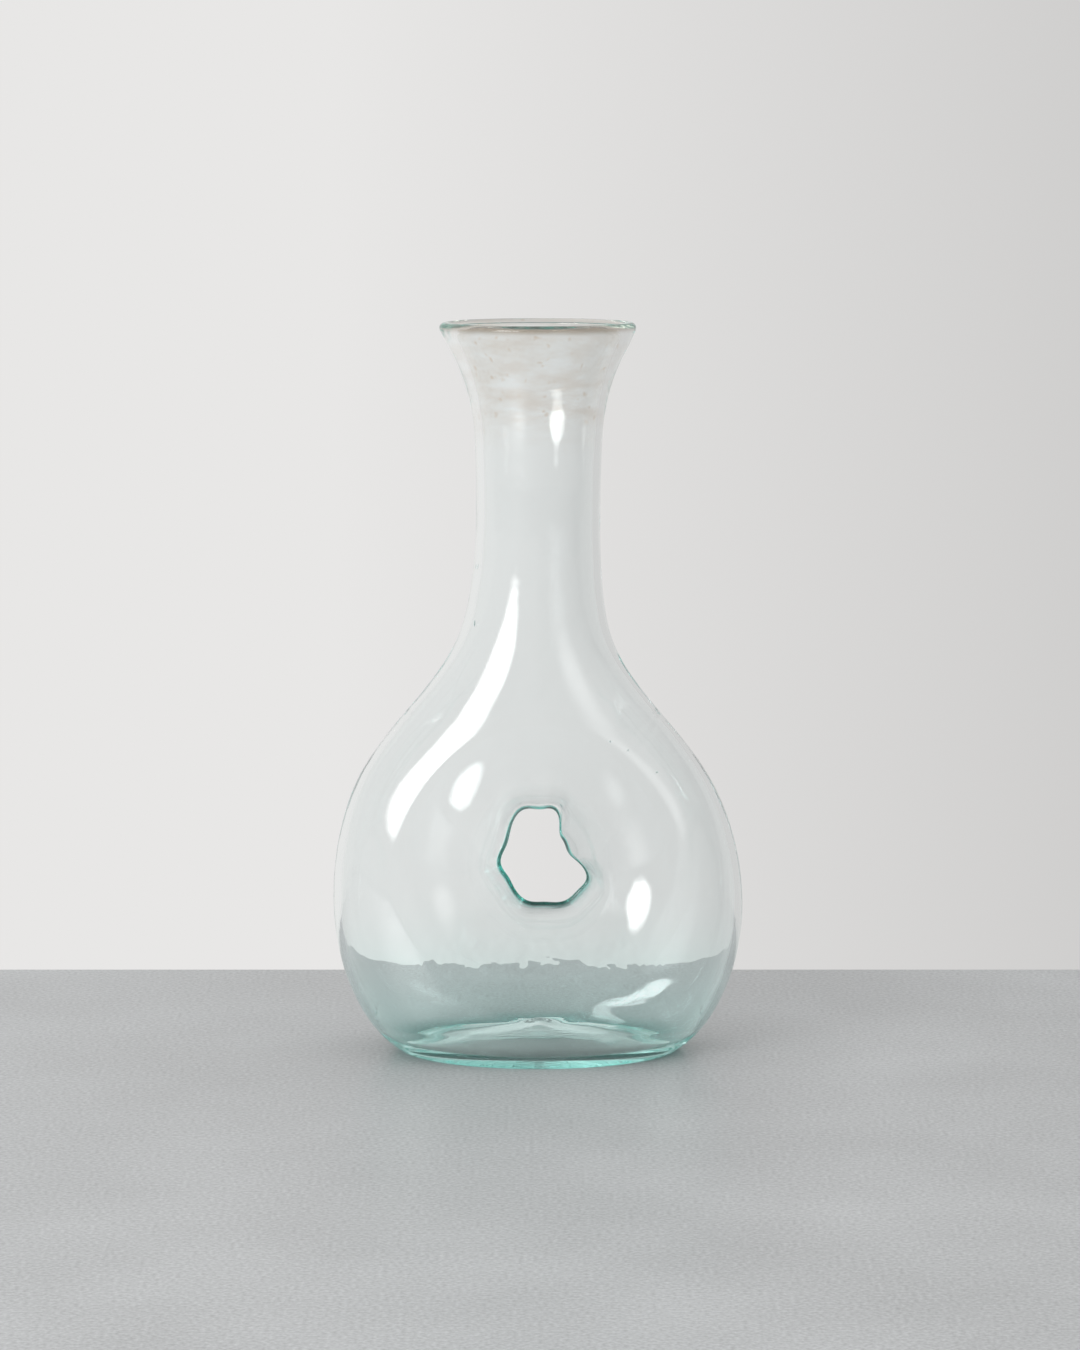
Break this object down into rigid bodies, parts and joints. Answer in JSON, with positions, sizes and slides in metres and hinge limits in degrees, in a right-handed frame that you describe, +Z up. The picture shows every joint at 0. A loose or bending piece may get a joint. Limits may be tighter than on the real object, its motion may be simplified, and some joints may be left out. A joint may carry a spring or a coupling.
{
  "type": "glass decanter",
  "caption": "Hand-blown clear glass decanter with a flared mouth, a round neck and a flattened body pierced right through to make a hand hold.",
  "frame": {"origin": "on the table, under the middle of the body", "axes": "+Z up through the mouth, +X to the right as seen from the front, +Y from the front to the back, through the hole"},
  "size_m": [0.1516, 0.0736, 0.27],
  "materials": {
    "recycled_glass": "fire-polished, faintly green clear glass"
  },
  "bodies": {
    "root": {"lip_wrap": "recycled_glass", "neck": "recycled_glass", "shoulder": "recycled_glass", "front_wall": "recycled_glass", "back_wall": "recycled_glass", "hole_collar": "recycled_glass", "base": "recycled_glass"}
  },
  "joints": []
}
